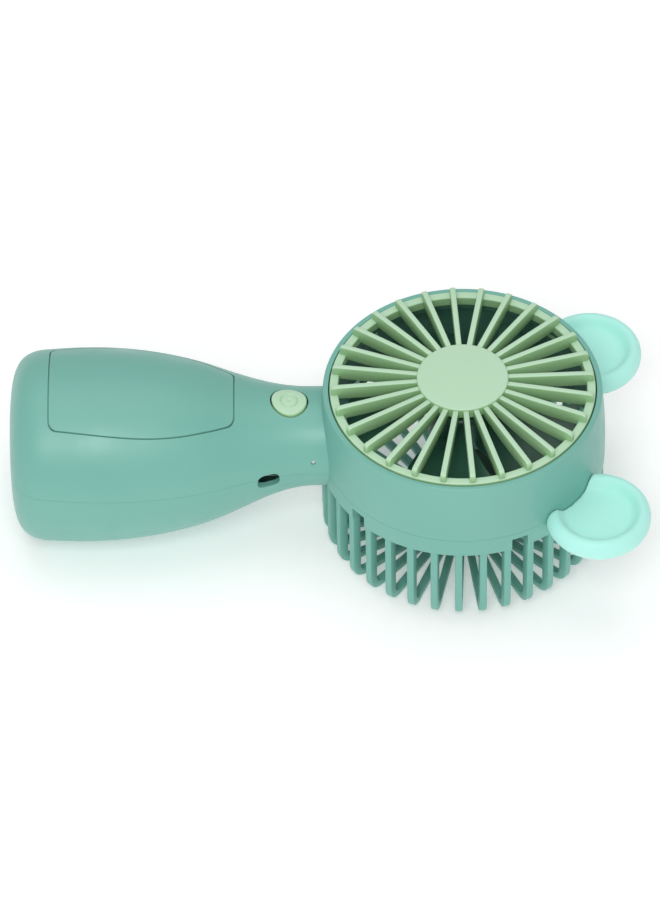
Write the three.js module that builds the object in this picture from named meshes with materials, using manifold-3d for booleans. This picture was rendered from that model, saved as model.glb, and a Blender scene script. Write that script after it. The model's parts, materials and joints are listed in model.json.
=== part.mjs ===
// Handheld electric fan with a caged round head, a bottle-shaped handle and two soft ears.
// Millimetres. Every piece is drawn in the fan's own axes: X runs from the handle towards the ears,
// Z is the air axis, and the origin is on it inside the head, just above the parting line of the shells.
// The finished fan is then laid on its back, tipped a little so that both its cage and its handle
// rest on Z = 0.
import * as THREE from 'three';
import { mergeVertices } from 'three/addons/utils/BufferGeometryUtils.js';
import Module from 'manifold-3d';

const wasm = await Module();
wasm.setup();

// ---------- driving dimensions ----------
const REST_TILT = THREE.MathUtils.degToRad(3.3);
const GAP = 0.3;
const WALL = 2.2;
const BIG = 400;
const HEAD_SIDES = 60;
const POST_SIDES = 6;
const MOTOR_SIDES = 20;
const SHAFT_SIDES = 12;

const HEAD_R = 48.0;
const HEAD_RIM_R = 46.6;
const HEAD_BORE_R = 45.4;
const RIM_Z = 20.7;
const LEDGE_Z = 17.5;
const LEDGE_INNER_R = 42.0;
const RIM_BORE_R = 44.8;

const CAGE_R = 47.5;
const CAGE_BOTTOM_Z = -41.6;
const CAGE_CORNER_R = 5;
const CAGE_RIB_COUNT = 36;
const CAGE_FIRST_RIB = THREE.MathUtils.degToRad(-92.8);
const CAGE_RIB_WIDTH = 2.45;
const CAGE_RIB_DEPTH = 3.2;
const SLOT_TOP_Z = -10.1;
const TALL_SLOT_RISE = 4.9;
const HUB_R = 19.5;
const HUB_PLATE = 2.6;

const RING_TOP_Z = 21.3;
const RING_OUTER_R = 44.4;
const RING_INNER_R = 41.5;
const RING_BOTTOM_Z = 17.8;
const GRILLE_RIB_COUNT = 28;
const GRILLE_FIRST_RIB = THREE.MathUtils.degToRad(3.1);
const GRILLE_RIB_WIDTH = 1.9;
const GRILLE_RIB_END_R = 44.0;
const GRILLE_RIB_END_Z = 24.5;
const CLIP_INNER_R = 42.5;
const CLIP_OUTER_R = 43.9;
const CLIP_WIDTH = 6;
const CLIP_BOTTOM_Z = 13;
const DISC_R = 15.3;
const DISC_TOP_Z = 26.0;

const SEAM_Z = -2.7;

const HANDLE_AXIS_Z = -3.9;
const NECK_AXIS_Z = -1.5;
const HANDLE_BASE_X = -151.6;
const HANDLE_END_X = -44;
const HOLLOW_END_X = -49.4;
const NECK_END_R = 46.2;

const COVER_X0 = -137.9;
const COVER_X1 = -76.1;
const COVER_BASE_HALF_WIDTH = 18.6;
const COVER_BELLY_HALF_WIDTH = 22;
const COVER_NECK_HALF_WIDTH = 11.8;
const COVER_CORNER_R = 2.6;
const COVER_GAP = 0.3;
const COVER_LIP = 1.6;

const BUTTON_X = -57.9;
const BUTTON_R = 5.95;
const BUTTON_PROUD = 0.6;
const BUTTON_TRAVEL = 0.7;

const USB_X = -65.2;
const USB_Z = -2.9;
const USB_HOLE_R = 2.8;
const USB_HOLE_HALF_WIDTH = 3.7;
const LENS_X = -50.2;
const LENS_Z = 2.5;
const LENS_R = 0.7;

const EAR_X = 44.3;
const EAR_Y = 37.5;
const EAR_Z = -3.8;
const EAR_R = 17.6;
const EAR_BITE_R = HEAD_R + 0.9;

const CELL_R = 9.15;
const CELL_LENGTH = 49.5;
const CELL_X0 = -129.5;
const CELL_Z = 9.5;

const BOARD_TOP_Z = USB_Z - 1.5;
const BOARD_THICK = 1.6;
const BOARD_X0 = -70.8;
const BOARD_X1 = -50.4;
const BOARD_HALF_WIDTH = 12;

const SHAFT_R = 1.0;
const MOTOR_R = 12.2;
const MOTOR_TOP_Z = -23.8;
const MOTOR_CAP_TOP_Z = -36.2;
const HUB_TOP_Z = CAGE_BOTTOM_Z + HUB_PLATE;

const IMPELLER_HUB_R = 11.5;
const IMPELLER_R = 38.8;
const IMPELLER_Z = 10;
const IMPELLER_BLADES = 5;
const IMPELLER_FIRST_BLADE = THREE.MathUtils.degToRad(30);

const SCREW_R = 1.1;
const SCREW_HEAD_R = 2.1;
const PILOT_GAP = 0.15;

// ---------- materials ----------
function paint(color, roughness, metalness = 0) {
  return new THREE.MeshStandardMaterial({ color, roughness, metalness });
}

const teal = paint(0x7cbaab, 0.45);
const green = paint(0xbcdfbf, 0.45);
const mint = paint(0xb3efe5, 0.6);
const darkGreen = paint(0x23402f, 0.4);
const black = paint(0x17181a, 0.5);
const steel = paint(0xb8bcc0, 0.3, 1);
const copper = paint(0xb8733a, 0.35, 1);
const magnetGrey = paint(0x4a4a4e, 0.6, 0.4);
const cellWrap = paint(0x2f6fb0, 0.4);
const boardGreen = paint(0x1f6b3d, 0.5);
const wireRed = paint(0xb8261e, 0.45);
const wireBlack = paint(0x1b1b1d, 0.45);
const clearLens = paint(0xf2f5f2, 0.15);

// ---------- solids ----------
function toSolid(geometry) {
  const bare = geometry.clone();
  bare.deleteAttribute('normal');
  bare.deleteAttribute('uv');
  const merged = mergeVertices(bare, 1e-4);
  const index = merged.index.array;
  const kept = [];
  for (let i = 0; i < index.length; i += 3) {
    const [a, b, c] = [index[i], index[i + 1], index[i + 2]];
    if (a !== b && b !== c && c !== a) kept.push(a, b, c);
  }
  const points = new Float32Array(merged.attributes.position.array);
  const solid = fromTriangles(points, new Uint32Array(kept));
  return solid.volume() > 0 ? solid : fromTriangles(points, new Uint32Array(kept).reverse());
}

function fromTriangles(vertProperties, triVerts) {
  return new wasm.Manifold(new wasm.Mesh({ numProp: 3, vertProperties, triVerts }));
}

function toGeometry(solid) {
  const mesh = solid.getMesh();
  const geometry = new THREE.BufferGeometry();
  geometry.setAttribute('position', new THREE.Float32BufferAttribute(mesh.vertProperties, 3));
  geometry.setIndex(Array.from(mesh.triVerts));
  geometry.computeVertexNormals();
  return geometry;
}

function join(solids) {
  return solids.reduce((whole, next) => whole.add(next));
}

function block(x0, x1, y0, y1, z0, z1) {
  const box = new THREE.BoxGeometry(x1 - x0, y1 - y0, z1 - z0);
  return toSolid(box.translate((x0 + x1) / 2, (y0 + y1) / 2, (z0 + z1) / 2));
}

function rodZ(x, y, z0, z1, radius, sides = 24) {
  const rod = new THREE.CylinderGeometry(radius, radius, z1 - z0, sides);
  return toSolid(rod.rotateX(Math.PI / 2).translate(x, y, (z0 + z1) / 2));
}

function rodX(x0, x1, y, z, radius, sides = 24) {
  const rod = new THREE.CylinderGeometry(radius, radius, x1 - x0, sides);
  return toSolid(rod.rotateZ(Math.PI / 2).translate((x0 + x1) / 2, y, z));
}

function rodY(x, y0, y1, z, radius, sides = 24) {
  const rod = new THREE.CylinderGeometry(radius, radius, y1 - y0, sides);
  return toSolid(rod.translate(x, (y0 + y1) / 2, z));
}

// A profile of [radius, height] pairs, turned about the air axis.
function turned(profile, sides) {
  const points = profile.map(([radius, height]) => new THREE.Vector2(radius, height));
  return toSolid(new THREE.LatheGeometry(points, sides).rotateX(Math.PI / 2));
}

function tubeZ(x, y, z0, z1, outer, inner, sides = 24) {
  const profile = [[inner, z0], [outer, z0], [outer, z1], [inner, z1], [inner, z0]];
  return turned(profile, sides).translate([x, y, 0]);
}

// A flat outline in the XY plane, raised from z0 to z1.
function raised(shape, z0, z1, curveSegments = 6) {
  const options = { depth: z1 - z0, bevelEnabled: false, curveSegments };
  return toSolid(new THREE.ExtrudeGeometry(shape, options).translate(0, 0, z0));
}

function roundedRectangle(x0, x1, y0, y1, radius) {
  const shape = new THREE.Shape();
  shape.absarc(x1 - radius, y1 - radius, radius, 0, Math.PI / 2);
  shape.absarc(x0 + radius, y1 - radius, radius, Math.PI / 2, Math.PI);
  shape.absarc(x0 + radius, y0 + radius, radius, Math.PI, 1.5 * Math.PI);
  shape.absarc(x1 - radius, y0 + radius, radius, 1.5 * Math.PI, 2 * Math.PI);
  return shape;
}

// A flat outline in the plane through the air axis, [radius, height], given a width and turned to an angle.
function radialPlate(shape, width, angle, curveSegments = 4) {
  const options = { depth: width, bevelEnabled: false, curveSegments };
  const plate = new THREE.ExtrudeGeometry(shape, options).translate(0, 0, -width / 2);
  return toSolid(plate.rotateX(Math.PI / 2).rotateZ(angle));
}

// The head parts on a plane across the air axis. The handle's parting plane meets it at the neck and is
// level when the fan lies on its back.
function seamZ(x) {
  return SEAM_Z + Math.max(0, -NECK_END_R - x) * Math.tan(REST_TILT);
}

function handleHalf(z0, z1) {
  const half = block(-BIG, BIG, -BIG, BIG, z0, z1);
  return half.rotate([0, THREE.MathUtils.radToDeg(REST_TILT), 0]).translate([-NECK_END_R, 0, SEAM_Z]);
}

function frontHalf() {
  return handleHalf(GAP / 2, BIG);
}

function backHalf() {
  return handleHalf(-BIG, -GAP / 2);
}

function wire(points, radius) {
  const path = new THREE.CatmullRomCurve3(points.map(([x, y, z]) => new THREE.Vector3(x, y, z)));
  const section = new THREE.Shape();
  section.absarc(0, 0, radius, 0, 2 * Math.PI);
  const steps = Math.ceil(path.getLength() / (6 * radius));
  return toSolid(new THREE.ExtrudeGeometry(section, { steps, extrudePath: path, curveSegments: 3 }));
}

// ---------- handle form ----------
function handleOutline() {
  const at = (x, radius) => new THREE.Vector2(x, radius);
  const base = new THREE.CubicBezierCurve(
    at(HANDLE_BASE_X, 0), at(-151.8, 23.7), at(-151.4, 32), at(-138, 32.2));
  const belly = new THREE.CubicBezierCurve(at(-138, 32.2), at(-122, 33.3), at(-106, 32.5), at(-88, 27.4));
  const neck = new THREE.CubicBezierCurve(at(-88, 27.4), at(-76, 23.9), at(-64, 16.6), at(-50, 16.7));
  return [[base, 5], [belly, 4], [neck, 5]];
}

// The handle's radius and its centre line, at one place along it, moved inwards by the inset.
function handleRings(inset) {
  const rings = [];
  for (const [curve, steps] of handleOutline()) {
    for (let i = rings.length ? 1 : 0; i <= steps; i += 1) {
      const point = curve.getPoint(i / steps);
      const tangent = curve.getTangent(i / steps);
      rings.push(new THREE.Vector2(point.x + inset * tangent.y, point.y - inset * tangent.x));
    }
  }
  rings[0].set(HANDLE_BASE_X + inset, 0);
  return rings;
}

function handleAxisZ(x) {
  return THREE.MathUtils.lerp(HANDLE_AXIS_Z, NECK_AXIS_Z, THREE.MathUtils.smoothstep(x, -84, -50));
}

function handleForm(inset, endX, sides = 24) {
  const rings = handleRings(inset).filter((ring) => ring.x < endX - 1);
  const last = rings[rings.length - 1];
  rings.push(new THREE.Vector2(endX, last.y), new THREE.Vector2(endX, 0));
  const profile = rings.map((ring) => new THREE.Vector2(ring.y, ring.x));
  const form = new THREE.LatheGeometry(profile, sides).rotateZ(-Math.PI / 2);
  const place = form.attributes.position;
  for (let i = 0; i < place.count; i += 1) place.setZ(i, place.getZ(i) + handleAxisZ(place.getX(i)));
  return toSolid(form);
}

const handleOuter = handleForm(0, HANDLE_END_X);
const handleInner = handleForm(WALL, HOLLOW_END_X);
const handleMiddle = handleForm(WALL / 2, -49.2);
const neckEnd = rodZ(0, 0, -BIG, BIG, NECK_END_R, HEAD_SIDES);

function handleShell() {
  return handleOuter.subtract(handleInner).subtract(neckEnd);
}

// ---------- case screws: one driving list for posts, sockets and screws ----------
const HANDLE_SCREWS = [[-144.2, -15], [-144.2, 15], [-74, -13.6], [-74, 13.6]];
const HEAD_SCREW_R = 42.7;
const HEAD_SCREW_ANGLE = THREE.MathUtils.degToRad(62);
const HEAD_POST_R = 3.2;
const HEAD_SCREWS = [-1, 1].map((side) => [
  HEAD_SCREW_R * Math.cos(HEAD_SCREW_ANGLE), side * HEAD_SCREW_R * Math.sin(HEAD_SCREW_ANGLE)]);
const CASE_SCREW_LENGTH = 9;
const CASE_SCREW_HEAD_Z = -7.6;
const CASE_SCREW_HEAD_HEIGHT = 1.4;

function caseScrew(x, y) {
  const bottom = seamZ(x) + CASE_SCREW_HEAD_Z;
  const top = bottom + CASE_SCREW_HEAD_HEIGHT;
  const head = rodZ(x, y, bottom, top, SCREW_HEAD_R, POST_SIDES);
  const slot = block(x - 0.3, x + 0.3, y - 1.4, y + 1.4, bottom - 1, bottom + 0.7);
  const shank = rodZ(x, y, top - 0.2, top + CASE_SCREW_LENGTH, SCREW_R, POST_SIDES);
  return head.add(shank).subtract(slot);
}

// ---------- front shell ----------
function headFrontWall() {
  const bottom = SEAM_Z + GAP / 2;
  const profile = [
    [HEAD_R, bottom], [HEAD_R - 0.3, 8], [HEAD_RIM_R, RIM_Z - 0.6], [HEAD_RIM_R - 0.5, RIM_Z],
    [RIM_BORE_R, RIM_Z], [RIM_BORE_R, LEDGE_Z], [LEDGE_INNER_R, LEDGE_Z], [LEDGE_INNER_R, LEDGE_Z - 1.9],
    [HEAD_BORE_R, LEDGE_Z - 4], [HEAD_BORE_R, bottom], [HEAD_R, bottom]];
  return turned(profile, HEAD_SIDES);
}

// The cover's outline seen along Z: wide at the belly of the handle, narrow at the neck, with round corners.
function coverOutline(inset) {
  const x0 = COVER_X0 + inset;
  const x1 = COVER_X1 - inset;
  const base = COVER_BASE_HALF_WIDTH - inset;
  const belly = COVER_BELLY_HALF_WIDTH - inset;
  const neck = COVER_NECK_HALF_WIDTH - inset;
  const corner = COVER_CORNER_R;
  const side = new THREE.Path();
  side.moveTo(x1, neck - corner);
  side.quadraticCurveTo(x1, neck, x1 - 0.9 * corner, neck + 0.42 * corner);
  side.bezierCurveTo(-98, belly, -112, belly, x0 + corner, base + 0.13 * corner);
  side.quadraticCurveTo(x0, base, x0, base - corner);
  const oneSide = side.getPoints(4);
  const otherSide = oneSide.map((point) => new THREE.Vector2(point.x, -point.y)).reverse();
  return new THREE.Shape([...oneSide, ...otherSide]);
}

function coverOpening(inset) {
  return raised(coverOutline(inset), 5, BIG);
}

function coverRecess() {
  return coverOpening(0).subtract(handleMiddle).add(coverOpening(COVER_LIP));
}

function usbHole(clearance = 0) {
  const radius = USB_HOLE_R + clearance;
  const half = USB_HOLE_HALF_WIDTH - USB_HOLE_R;
  const left = rodY(USB_X - half, -30, -14.2, USB_Z, radius, 16);
  const right = rodY(USB_X + half, -30, -14.2, USB_Z, radius, 16);
  const middle = block(USB_X - half, USB_X + half, -30, -14.2, USB_Z - radius, USB_Z + radius);
  return join([left, right, middle]);
}

function grilleClipNotches() {
  return join(GRILLE_CLIP_ANGLES.map((angle) => grilleClip(angle, GAP, LEDGE_Z + 0.2, CLIP_BOTTOM_Z - 1)));
}

function earSocket(side) {
  return earStem(side, GAP);
}

function frontPosts() {
  const handlePosts = HANDLE_SCREWS.map(
    ([x, y]) => rodZ(x, y, -BIG, BIG, 3, POST_SIDES).intersect(handleMiddle).intersect(frontHalf()));
  const headPosts = HEAD_SCREWS.map(
    ([x, y]) => rodZ(x, y, SEAM_Z + GAP / 2, SEAM_Z + 4.4, HEAD_POST_R, POST_SIDES));
  return join([...handlePosts, ...headPosts]);
}

function pilotHoles() {
  const holes = [...HANDLE_SCREWS, ...HEAD_SCREWS];
  return join(holes.map(
    ([x, y]) => rodZ(x, y, seamZ(x) - 1, seamZ(x) + 3.6, SCREW_R + PILOT_GAP, POST_SIDES)));
}

function wirePass() {
  return block(-51, -44, -3.2, 3.2, -11.4, -7.4);
}

function frontShell() {
  const form = join([handleShell().intersect(frontHalf()), headFrontWall(), frontPosts()]);
  const cuts = [
    coverRecess(), usbHole(), pilotHoles(), grilleClipNotches(), earSocket(1), earSocket(-1),
    rodZ(BUTTON_X, 0, 5, 40, BUTTON_R + GAP, 20), rodY(LENS_X, -30, -8, LENS_Z, LENS_R + 0.2, 12)];
  return cuts.reduce((whole, cut) => whole.subtract(cut), form);
}

// ---------- back shell ----------
function headBackWall() {
  const top = SEAM_Z - GAP / 2;
  const profile = [
    [HEAD_R, top], [HEAD_R - 0.1, SLOT_TOP_Z], [HEAD_BORE_R, SLOT_TOP_Z], [HEAD_BORE_R, top], [HEAD_R, top]];
  return turned(profile, HEAD_SIDES);
}

function cageRibShape() {
  const inner = CAGE_CORNER_R - CAGE_RIB_DEPTH + 0.6;
  const cornerX = CAGE_R - CAGE_CORNER_R;
  const cornerZ = CAGE_BOTTOM_Z + CAGE_CORNER_R;
  const shape = new THREE.Shape();
  shape.moveTo(CAGE_R, SLOT_TOP_Z + 2);
  shape.lineTo(CAGE_R, cornerZ);
  shape.absarc(cornerX, cornerZ, CAGE_CORNER_R, 0, -Math.PI / 2, true);
  shape.lineTo(HUB_R - 2, CAGE_BOTTOM_Z);
  shape.lineTo(HUB_R - 2, HUB_TOP_Z);
  shape.lineTo(cornerX, HUB_TOP_Z);
  shape.absarc(CAGE_R - CAGE_RIB_DEPTH - inner, HUB_TOP_Z + inner, inner, -Math.PI / 2, 0, false);
  shape.lineTo(CAGE_R - CAGE_RIB_DEPTH, SLOT_TOP_Z + 2);
  return shape;
}

function cageRibAngle(k) {
  return CAGE_FIRST_RIB + (k * 2 * Math.PI) / CAGE_RIB_COUNT;
}

function cageRibs() {
  const ribs = [];
  for (let k = 0; k < CAGE_RIB_COUNT; k += 1) {
    ribs.push(radialPlate(cageRibShape(), CAGE_RIB_WIDTH, cageRibAngle(k), 2));
  }
  return join(ribs);
}

// Four of the slots between the ribs reach higher up the wall than the rest.
function tallSlots() {
  const openSpan = (2 * Math.PI * CAGE_R) / CAGE_RIB_COUNT - CAGE_RIB_WIDTH - 0.4;
  const slot = new THREE.Shape();
  slot.moveTo(HEAD_BORE_R - 1, SLOT_TOP_Z - 1);
  slot.lineTo(HEAD_R + 2, SLOT_TOP_Z - 1);
  slot.lineTo(HEAD_R + 2, SLOT_TOP_Z + TALL_SLOT_RISE);
  slot.lineTo(HEAD_BORE_R - 1, SLOT_TOP_Z + TALL_SLOT_RISE);
  const places = [2.5, -4.5, 16.5, 23.5];
  return join(places.map((k) => radialPlate(slot, openSpan, cageRibAngle(k))));
}

const WEB_HALF_WIDTH = 4.2;
const MOTOR_SCREW_R = 16.9;
const MOTOR_SCREWS = [60, 213, 300].map(THREE.MathUtils.degToRad).map(
  (angle) => [MOTOR_SCREW_R * Math.cos(angle), MOTOR_SCREW_R * Math.sin(angle)]);
const MOTOR_CUP_R = 14.6;
const MOTOR_CUP_TOP_Z = -25.4;

// The covered channel that carries the motor leads from the hub, along the cage and up to the neck.
function leadChannel() {
  const shape = new THREE.Shape();
  shape.moveTo(HUB_R - 2, CAGE_BOTTOM_Z + 0.9);
  shape.lineTo(CAGE_R - 4, CAGE_BOTTOM_Z + 0.9);
  shape.lineTo(CAGE_R - 0.8, CAGE_BOTTOM_Z + 4.2);
  shape.lineTo(CAGE_R - 0.8, -4);
  shape.lineTo(42, -4);
  shape.lineTo(42, -35.6);
  shape.lineTo(HUB_R - 2, -35.6);
  return radialPlate(shape, 2 * WEB_HALF_WIDTH, Math.PI);
}

function leadGroove() {
  const along = block(-44.9, -12, -2.4, 2.4, -38.2, -30);
  const upwards = block(-44.9, -40, -2.4, 2.4, -38.3, -3);
  return along.add(upwards);
}

function motorCup() {
  const cup = tubeZ(0, 0, HUB_TOP_Z - 0.5, MOTOR_CUP_TOP_Z, MOTOR_CUP_R, MOTOR_R + GAP, MOTOR_SIDES);
  const bosses = MOTOR_SCREWS.map(([x, y]) => rodZ(x, y, HUB_TOP_Z - 0.5, MOTOR_CUP_TOP_Z, 2.5, POST_SIDES));
  return join([cup, ...bosses]);
}

function motorPilots() {
  return join(MOTOR_SCREWS.map(([x, y]) => rodZ(x, y, -33, -20, SCREW_R + PILOT_GAP, POST_SIDES)));
}

function backPosts() {
  const handlePosts = HANDLE_SCREWS.map(
    ([x, y]) => rodZ(x, y, -BIG, BIG, 3.4, POST_SIDES).intersect(handleMiddle).intersect(backHalf()));
  const headPosts = HEAD_SCREWS.map(([x, y]) => rodZ(x, y, -10, SEAM_Z - GAP / 2, HEAD_POST_R, POST_SIDES));
  const boardPosts = BOARD_SCREWS.map(([x, y]) => rodZ(
    x, y, -30, BOARD_TOP_Z - BOARD_THICK - GAP, 2, POST_SIDES).intersect(handleMiddle));
  return join([...handlePosts, ...headPosts, ...boardPosts]);
}

function screwSockets() {
  const places = [...HANDLE_SCREWS, ...HEAD_SCREWS];
  const wellTop = CASE_SCREW_HEAD_Z + CASE_SCREW_HEAD_HEIGHT + GAP;
  const wells = places.map(([x, y]) => rodZ(x, y, -50, seamZ(x) + wellTop, SCREW_HEAD_R + GAP, POST_SIDES));
  const holes = places.map(([x, y]) => rodZ(x, y, -50, seamZ(x) + 2, SCREW_R + GAP, POST_SIDES));
  return join([...wells, ...holes]);
}

function boardPilots() {
  return join(BOARD_SCREWS.map(([x, y]) => rodZ(x, y, BOARD_TOP_Z - 8, 0, SCREW_R - 0.05, POST_SIDES)));
}

function trayPosts() {
  const places = [[-126, -9], [-126, 9], [-86, -9], [-86, 9]];
  const top = TRAY_BOTTOM_Z - GAP;
  return join(places.map(([x, y]) => rodZ(x, y, -40, top, 2.2, POST_SIDES).intersect(handleMiddle)));
}

function backShell() {
  const hub = rodZ(0, 0, CAGE_BOTTOM_Z, HUB_TOP_Z, HUB_R, MOTOR_SIDES);
  const wall = headBackWall().subtract(tallSlots());
  const form = join([
    handleShell().intersect(backHalf()), wall, cageRibs(), hub, motorCup(), leadChannel(), backPosts(),
    trayPosts()]);
  const cuts = [
    usbHole(), screwSockets(), boardPilots(), motorPilots(), leadGroove(), wirePass(), earSocket(1),
    earSocket(-1)];
  return cuts.reduce((whole, cut) => whole.subtract(cut), form);
}

// ---------- front grille ----------
const GRILLE_CLIP_ANGLES = [45, 135, 225, 315].map(THREE.MathUtils.degToRad);

function grilleClip(angle, grow, z1, z0) {
  const shape = new THREE.Shape();
  shape.moveTo(CLIP_INNER_R - grow, z0);
  shape.lineTo(CLIP_OUTER_R + grow, z0);
  shape.lineTo(CLIP_OUTER_R + grow, z1);
  shape.lineTo(CLIP_INNER_R - grow, z1);
  return radialPlate(shape, CLIP_WIDTH + 2 * grow, angle);
}

function grilleRibShape() {
  const corner = 1.4;
  const shape = new THREE.Shape();
  shape.moveTo(DISC_R - 1.2, DISC_TOP_Z - 4.6);
  shape.lineTo(30, RING_BOTTOM_Z + 1.7);
  shape.lineTo(RING_INNER_R + 1, RING_BOTTOM_Z + 1.7);
  shape.lineTo(GRILLE_RIB_END_R, RING_TOP_Z - 1);
  shape.lineTo(GRILLE_RIB_END_R, GRILLE_RIB_END_Z - corner);
  shape.absarc(GRILLE_RIB_END_R - corner, GRILLE_RIB_END_Z - corner, corner, 0, Math.PI / 2);
  shape.lineTo(DISC_R - 1.2, DISC_TOP_Z - 0.7);
  return shape;
}

function frontGrille() {
  const ring = tubeZ(0, 0, RING_BOTTOM_Z, RING_TOP_Z, RING_OUTER_R, RING_INNER_R, 56);
  const disc = turned([
    [0, DISC_TOP_Z - 4], [DISC_R, DISC_TOP_Z - 4], [DISC_R, DISC_TOP_Z - 0.5], [DISC_R - 0.5, DISC_TOP_Z],
    [0, DISC_TOP_Z]], 28);
  const solids = [ring, disc];
  for (let k = 0; k < GRILLE_RIB_COUNT; k += 1) {
    const angle = GRILLE_FIRST_RIB + (k * 2 * Math.PI) / GRILLE_RIB_COUNT;
    solids.push(radialPlate(grilleRibShape(), GRILLE_RIB_WIDTH, angle, 2));
  }
  for (const angle of GRILLE_CLIP_ANGLES) {
    solids.push(grilleClip(angle, 0, RING_BOTTOM_Z + 0.5, CLIP_BOTTOM_Z));
  }
  return join(solids);
}

// ---------- battery cover ----------
function batteryCover() {
  const lipTop = handleForm(WALL / 2 - COVER_GAP, HOLLOW_END_X);
  const skin = coverOpening(COVER_GAP).intersect(handleOuter).subtract(lipTop);
  const plug = coverOpening(COVER_GAP + COVER_LIP).intersect(handleOuter).subtract(handleInner);
  return skin.add(plug);
}

// ---------- button ----------
function powerButton() {
  const cap = rodZ(BUTTON_X, 0, 9.6, 40, BUTTON_R, 20).intersect(handleForm(-BUTTON_PROUD, HANDLE_END_X));
  const groove = tubeZ(BUTTON_X, 0, 15.35, 40, 2.95, 2.5, 16);
  const flange = rodZ(BUTTON_X, 0, 9.6, 10.7, BUTTON_R + 1.1, 20);
  return cap.add(flange).subtract(groove);
}

// ---------- ears ----------
function earStem(side, grow) {
  const shape = new THREE.Shape();
  const angle = Math.atan2(EAR_Y, EAR_X);
  shape.moveTo(46.2 - 2 * grow, EAR_Z - 1.7 - grow);
  shape.lineTo(EAR_BITE_R + 6, EAR_Z - 1.7 - grow);
  shape.lineTo(EAR_BITE_R + 6, EAR_Z + 1.7 + grow);
  shape.lineTo(46.2 - 2 * grow, EAR_Z + 1.7 + grow);
  return radialPlate(shape, 9 + 2 * grow, side * angle);
}

// A puffy round pad with a thick raised rim and a shallow dish, bitten to clear the head wall.
function ear(side) {
  const pad = turned([
    [0, -3.8], [14.6, -3.6], [17.0, -1.2], [EAR_R, 1.0], [16.8, 3.6], [14.8, 4.8], [12.8, 3.7],
    [10.8, 1.5], [0, 0.9]], 22).translate([EAR_X, side * EAR_Y, EAR_Z]);
  const bite = rodZ(0, 0, -20, 20, EAR_BITE_R, HEAD_SIDES);
  return pad.subtract(bite).add(earStem(side, 0));
}

// ---------- impeller ----------
// One blade: sections wrapped round the air axis, steep at the hub and flatter at the tip.
function impellerBlade(turn) {
  const rings = 3;
  const steps = 4;
  const thick = 1.3;
  const vertices = [];
  const indices = [];
  for (let i = 0; i <= rings; i += 1) {
    const t = i / rings;
    const radius = THREE.MathUtils.lerp(IMPELLER_HUB_R - 1, IMPELLER_R, t);
    const halfAngle = THREE.MathUtils.degToRad(THREE.MathUtils.lerp(27, 25, t));
    const rise = THREE.MathUtils.lerp(6.0, 4.2, t);
    for (const side of [-1, 1]) {
      for (let j = 0; j <= steps; j += 1) {
        const s = (2 * j) / steps - 1;
        const angle = turn + s * halfAngle + 0.25 * t;
        const z = IMPELLER_Z + rise * s - 1.4 * (1 - s * s) + (side * thick) / 2;
        vertices.push(radius * Math.cos(angle), radius * Math.sin(angle), z);
      }
    }
  }
  const row = 2 * (steps + 1);
  const at = (i, side, j) => i * row + side * (steps + 1) + j;
  const quad = (a, b, c, d) => indices.push(a, b, c, a, c, d);
  for (let i = 0; i < rings; i += 1) {
    for (let j = 0; j < steps; j += 1) {
      quad(at(i, 1, j), at(i + 1, 1, j), at(i + 1, 1, j + 1), at(i, 1, j + 1));
      quad(at(i, 0, j), at(i, 0, j + 1), at(i + 1, 0, j + 1), at(i + 1, 0, j));
    }
    quad(at(i, 0, 0), at(i + 1, 0, 0), at(i + 1, 1, 0), at(i, 1, 0));
    quad(at(i, 0, steps), at(i, 1, steps), at(i + 1, 1, steps), at(i + 1, 0, steps));
  }
  for (let j = 0; j < steps; j += 1) {
    quad(at(0, 0, j), at(0, 1, j), at(0, 1, j + 1), at(0, 0, j + 1));
    quad(at(rings, 0, j), at(rings, 0, j + 1), at(rings, 1, j + 1), at(rings, 1, j));
  }
  const geometry = new THREE.BufferGeometry();
  geometry.setAttribute('position', new THREE.Float32BufferAttribute(vertices, 3));
  geometry.setIndex(indices);
  return toSolid(geometry);
}

function impeller() {
  const bore = SHAFT_R + 0.06;
  const hub = turned([
    [bore, 3], [3.2, 3], [3.2, 12.6], [IMPELLER_HUB_R - 1.5, 12.6], [IMPELLER_HUB_R - 1.5, 1.6],
    [IMPELLER_HUB_R, 1.6], [IMPELLER_HUB_R, 13.4], [IMPELLER_HUB_R - 2.4, 16.2], [bore, 16.2],
    [bore, 3]], MOTOR_SIDES);
  const blades = [];
  for (let k = 0; k < IMPELLER_BLADES; k += 1) {
    blades.push(impellerBlade(IMPELLER_FIRST_BLADE + (k * 2 * Math.PI) / IMPELLER_BLADES));
  }
  const core = rodZ(0, 0, -BIG, BIG, IMPELLER_HUB_R - 0.7, MOTOR_SIDES);
  return join(blades).subtract(core).add(hub);
}

// ---------- motor ----------
function motorCan() {
  const top = MOTOR_TOP_Z;
  return turned([
    [MOTOR_R, MOTOR_CAP_TOP_Z + 0.2], [MOTOR_R, top], [4.0, top], [4.0, top + 1.6], [2.9, top + 1.6],
    [2.9, top - 1.1], [MOTOR_R - 1.1, top - 1.1], [MOTOR_R - 1.1, MOTOR_CAP_TOP_Z + 0.2],
    [MOTOR_R, MOTOR_CAP_TOP_Z + 0.2]], MOTOR_SIDES);
}

function motorEndCap() {
  return turned([
    [2.9, HUB_TOP_Z + 0.3], [MOTOR_R, HUB_TOP_Z + 0.3], [MOTOR_R, MOTOR_CAP_TOP_Z], [2.9, MOTOR_CAP_TOP_Z],
    [2.9, HUB_TOP_Z + 0.3]], MOTOR_SIDES);
}

function bearing(z0, z1) {
  return tubeZ(0, 0, z0, z1, 2.6, SHAFT_R + 0.06, SHAFT_SIDES);
}

function magnet(side) {
  const start = side > 0 ? -1.25 : Math.PI - 1.25;
  const shape = new THREE.Shape();
  shape.absarc(0, 0, 10.8, start, start + 2.5, false);
  shape.absarc(0, 0, 9.0, start + 2.5, start, true);
  return raised(shape, -35.4, -26.4, 8);
}

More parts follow.
